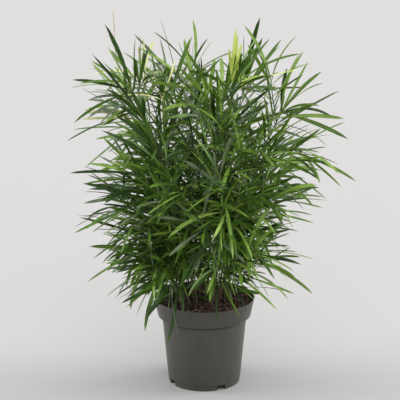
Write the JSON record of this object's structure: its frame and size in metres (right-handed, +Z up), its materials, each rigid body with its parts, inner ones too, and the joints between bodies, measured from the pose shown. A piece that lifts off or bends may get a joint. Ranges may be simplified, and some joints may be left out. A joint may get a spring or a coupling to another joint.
{
  "type": "potted asparagus fern",
  "caption": "Sickle-leaved asparagus fern in a round taupe plastic nursery pot, an airy dome of narrow curved green leaves on thin wiry stems over dark peat.",
  "frame": {"origin": "Centre of the pot's flat underside, on the ground plane.", "axes": "+Z up along the pot's axis; -Y faces the viewer of the picture; +X to the viewer's right."},
  "size_m": [0.345, 0.3355, 0.4391],
  "materials": {
    "plastic": "matte moulded plastic with a faint satin side",
    "soil": "damp crumbly peat with bark fibre",
    "stem": "thin green to straw-coloured wiry stems",
    "leaves_top": "waxy leaf green, lighter at the crown",
    "leaves_mid": "waxy mid green leaves",
    "leaves_low": "waxy deeper green leaves"
  },
  "bodies": {
    "root": {"foliage_low_1": "leaves_low", "foliage_low_2": "leaves_low", "foliage_low_3": "leaves_low", "foliage_low_4": "leaves_low", "foliage_low_5": "leaves_low", "foliage_low_6": "leaves_low", "foliage_low_7": "leaves_low", "foliage_low_8": "leaves_low", "foliage_mid_1": "leaves_mid", "foliage_mid_10": "leaves_mid", "foliage_mid_2": "leaves_mid", "foliage_mid_3": "leaves_mid", "foliage_mid_4": "leaves_mid", "foliage_mid_5": "leaves_mid", "foliage_mid_6": "leaves_mid", "foliage_mid_7": "leaves_mid", "foliage_mid_8": "leaves_mid", "foliage_mid_9": "leaves_mid", "foliage_top_1": "leaves_top", "foliage_top_10": "leaves_top", "foliage_top_2": "leaves_top", "foliage_top_3": "leaves_top", "foliage_top_4": "leaves_top", "foliage_top_5": "leaves_top", "foliage_top_6": "leaves_top", "foliage_top_7": "leaves_top", "foliage_top_8": "leaves_top", "foliage_top_9": "leaves_top", "pot": "plastic", "soil": "soil", "stem_low_1": "stem", "stem_low_2": "stem", "stem_low_3": "stem", "stem_low_4": "stem", "stem_low_5": "stem", "stem_low_6": "stem", "stem_low_7": "stem", "stem_low_8": "stem", "stem_mid_1": "stem", "stem_mid_10": "stem", "stem_mid_2": "stem", "stem_mid_3": "stem", "stem_mid_4": "stem", "stem_mid_5": "stem", "stem_mid_6": "stem", "stem_mid_7": "stem", "stem_mid_8": "stem", "stem_mid_9": "stem", "stem_top_1": "stem", "stem_top_10": "stem", "stem_top_2": "stem", "stem_top_3": "stem", "stem_top_4": "stem", "stem_top_5": "stem", "stem_top_6": "stem", "stem_top_7": "stem", "stem_top_8": "stem", "stem_top_9": "stem"}
  },
  "joints": []
}
